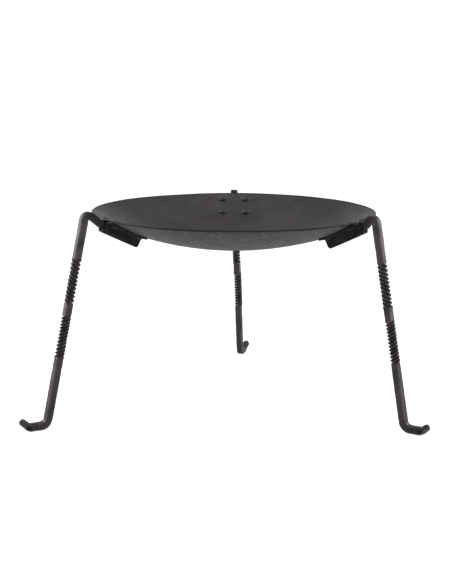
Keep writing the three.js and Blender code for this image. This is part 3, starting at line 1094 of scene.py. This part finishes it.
def rivet_steel():
    """Domes inside the bowl painted lighter towards their tops as a highlight, and painted shade
    under the bowl.
    """
    material, tree = new_steel("hammered_rivet", metallic=0.9)
    place = object_place(tree)
    cloud = texture(tree, place, scale=160)
    speck = texture(tree, place, scale=900, detail=3)

    colour = cloudy(tree, cloud, RIVET_GREY)
    # Painted highlight, stronger towards the top of each head inside the bowl
    wear_and_highlight_amount = remap(tree, cloud, 0.3, 0.7, to_low=0.2, to_high=0.5)
    colour = blend(tree, times(tree, attribute(tree, "wear_and_highlight"), wear_and_highlight_amount), colour, RIVET_PAINTED_HIGHLIGHT)
    # Painted shade on the lower head and shank under the bowl
    shade_strength = remap(tree, cloud, 0.35, 0.65, to_low=0.55, to_high=0.9)
    colour = blend(tree, times(tree, attribute(tree, "painted_shade"), shade_strength), colour, RIVET_PAINTED_SHADE)

    roughness = remap(tree, speck, 0.3, 0.7, to_low=0.44, to_high=0.60)
    normal = bumps(tree, [(cloud, 0.0001), (speck, 0.00003)])
    return finished_steel(material, colour, roughness, normal)


def leg_steel():
    """Blackened bar with a violet tint, drawn-out streaks, worn corners, twist ridges painted
    lighter as a highlight, and painted shade in the twist's grooves, on the hook under the bowl and
    in the toe's dents.
    """
    material, tree = new_steel("forged_bar", metallic=0.9)
    bar = attribute(tree, "bar", "Vector")
    cloud = texture(tree, bar, scale=45)
    drawn = texture(tree, stretched(tree, bar, (60, 420, 420)), scale=1)
    speck = texture(tree, bar, scale=700, detail=3)
    tint = texture(tree, bar, scale=22, detail=3)

    colour = cloudy(tree, cloud, LEG_GREY)
    violet = remap(tree, tint, 0.38, 0.60, to_low=0.1, to_high=0.8)
    colour = blend(tree, violet, colour, LEG_VIOLET)
    colour = blend(tree, remap(tree, drawn, 0.5, 0.7, to_high=0.4), colour, LEG_STREAK)
    colour = blend(tree, remap(tree, speck, 0.58, 0.7, to_high=0.6), colour, LEG_SCALE)
    # Wear on the corners, and painted highlight on the twist's ridges
    wear_and_highlight_amount = remap(tree, cloud, 0.38, 0.6, to_low=0.15, to_high=0.7)
    colour = blend(tree, times(tree, attribute(tree, "wear_and_highlight"), wear_and_highlight_amount), colour, LEG_WEAR_AND_HIGHLIGHT)
    # Painted shade
    painted_shade = times(tree, attribute(tree, "painted_shade"), 0.9)
    colour = blend(tree, painted_shade, colour, LEG_PAINTED_SHADE)

    roughness = remap(tree, drawn, 0.3, 0.7, to_low=0.34, to_high=0.50)
    roughness = combine(tree, "ADD", roughness, times(tree, painted_shade, 0.25))
    normal = bumps(tree, [(cloud, 0.0003), (drawn, 0.00012), (speck, 0.00006)])
    return finished_steel(material, colour, roughness, normal)


# ------------------------ floor, light and camera


def make_floor():
    """A wide, plain floor: white to the eye, but it lights the object only as a grey one would.
    From below it is clear, so that the underside can be looked at."""
    half = FLOOR_HALF
    points = np.array([[-half, -half, 0], [half, -half, 0], [half, half, 0], [-half, half, 0]])
    floor = add_mesh("floor", points, [(0, 1, 2, 3)], {})
    material = bpy.data.materials.new("pale_floor")
    material.use_nodes = True
    tree = material.node_tree
    shader = tree.nodes["Principled BSDF"]
    to_camera = add_node(tree, "ShaderNodeLightPath").outputs["Is Camera Ray"]
    colour = blend(tree, to_camera, FLOOR_COLOUR_LIT, FLOOR_COLOUR_SEEN)
    place = object_place(tree)
    distance = add_node(tree, "ShaderNodeVectorMath", {0: place}, operation="LENGTH")
    away = distance.outputs["Value"]
    lit = remap(tree, away, *FLOOR_GLOW_SPREAD, FLOOR_GLOW_NEAR, FLOOR_GLOW_FAR)
    glow = add_node(tree, "ShaderNodeMix", {0: to_camera, 2: lit, 3: FLOOR_GLOW_SEEN}).outputs[0]
    tree.links.new(colour, shader.inputs["Base Color"])
    tree.links.new(glow, shader.inputs["Emission Strength"])
    shader.inputs["Emission Color"].default_value = rgb(1, 1, 1)
    shader.inputs["Roughness"].default_value = FLOOR_ROUGHNESS
    from_below = add_node(tree, "ShaderNodeNewGeometry").outputs["Backfacing"]
    clear = add_node(tree, "ShaderNodeBsdfTransparent").outputs[0]
    both = add_node(tree, "ShaderNodeMixShader", {0: from_below, 1: shader.outputs[0], 2: clear})
    tree.links.new(both.outputs[0], tree.nodes["Material Output"].inputs["Surface"])
    floor.data.materials.append(material)


def make_world():
    """White to the eye. As light it is bright round the horizon, dimmer overhead and in front."""
    world = bpy.data.worlds.new("studio")
    world.use_nodes = True
    tree = world.node_tree
    tree.nodes.clear()
    way = add_node(tree, "ShaderNodeTexCoord").outputs["Generated"]
    split = add_node(tree, "ShaderNodeSeparateXYZ", {"Vector": way})
    overhead = remap(tree, split.outputs["Z"], **WORLD_BY_HEIGHT)
    front = remap(tree, split.outputs["Y"], **WORLD_BY_DEPTH)
    strength = times(tree, overhead, front)
    white = rgb(1, 1, 1)
    lit = add_node(tree, "ShaderNodeBackground", {"Color": white, "Strength": strength})
    seen = add_node(tree, "ShaderNodeBackground", {"Color": white, "Strength": WORLD_SEEN})
    to_camera = add_node(tree, "ShaderNodeLightPath").outputs["Is Camera Ray"]
    either = {0: to_camera, 1: lit.outputs[0], 2: seen.outputs[0]}
    both = add_node(tree, "ShaderNodeMixShader", either)
    output = tree.nodes.new("ShaderNodeOutputWorld")
    tree.links.new(both.outputs[0], output.inputs["Surface"])
    bpy.context.scene.world = world


def add_softbox(name, place, size, radiance):
    """A square light aimed at the bowl."""
    light = bpy.data.lights.new(name, "AREA")
    light.shape = "SQUARE"
    light.size = size
    light.energy = radiance * math.pi * size * size
    holder = bpy.data.objects.new(name, light)
    place = Vector(place) + AXIS
    target = AXIS + Vector((0, 0, RIM_HEIGHT * SOFTBOX_AIM))
    holder.location = place
    holder.rotation_euler = (target - place).to_track_quat("-Z", "Y").to_euler()
    bpy.context.scene.collection.objects.link(holder)


def make_lights():
    for softbox in SOFTBOXES:
        add_softbox(**softbox)


def make_camera():
    """The camera stands in front of the two near legs and looks down at the bowl."""
    data = bpy.data.cameras.new("camera")
    data.lens = CAMERA_LENS
    data.sensor_width = CAMERA_SENSOR
    camera = bpy.data.objects.new("camera", data)
    orbit = Matrix.Rotation(math.radians(CAMERA_ORBIT), 4, "Z")
    place = Matrix.Translation((0, -CAMERA_DISTANCE, CAMERA_HEIGHT))
    turn = Matrix.Rotation(math.radians(CAMERA_TURN), 4, "Z")
    tilt = Matrix.Rotation(math.radians(90 - CAMERA_DOWN), 4, "X")
    roll = Matrix.Rotation(math.radians(CAMERA_ROLL), 4, "Z")
    camera.matrix_world = Matrix.Translation(AXIS) @ orbit @ place @ turn @ tilt @ roll
    bpy.context.scene.collection.objects.link(camera)
    bpy.context.scene.camera = camera
    bpy.context.scene.view_settings.view_transform = "Standard"


make_camera()
make_world()
make_lights()
make_floor()

make_bowl(bowl_steel())
SOCKET_STEEL = socket_steel()
RIVET_STEEL = rivet_steel()
LEG_STEEL = leg_steel()
for each_leg in LEGS:
    make_socket(each_leg, SOCKET_STEEL)
    make_rivets(each_leg, RIVET_STEEL)
    make_leg(each_leg, LEG_STEEL)
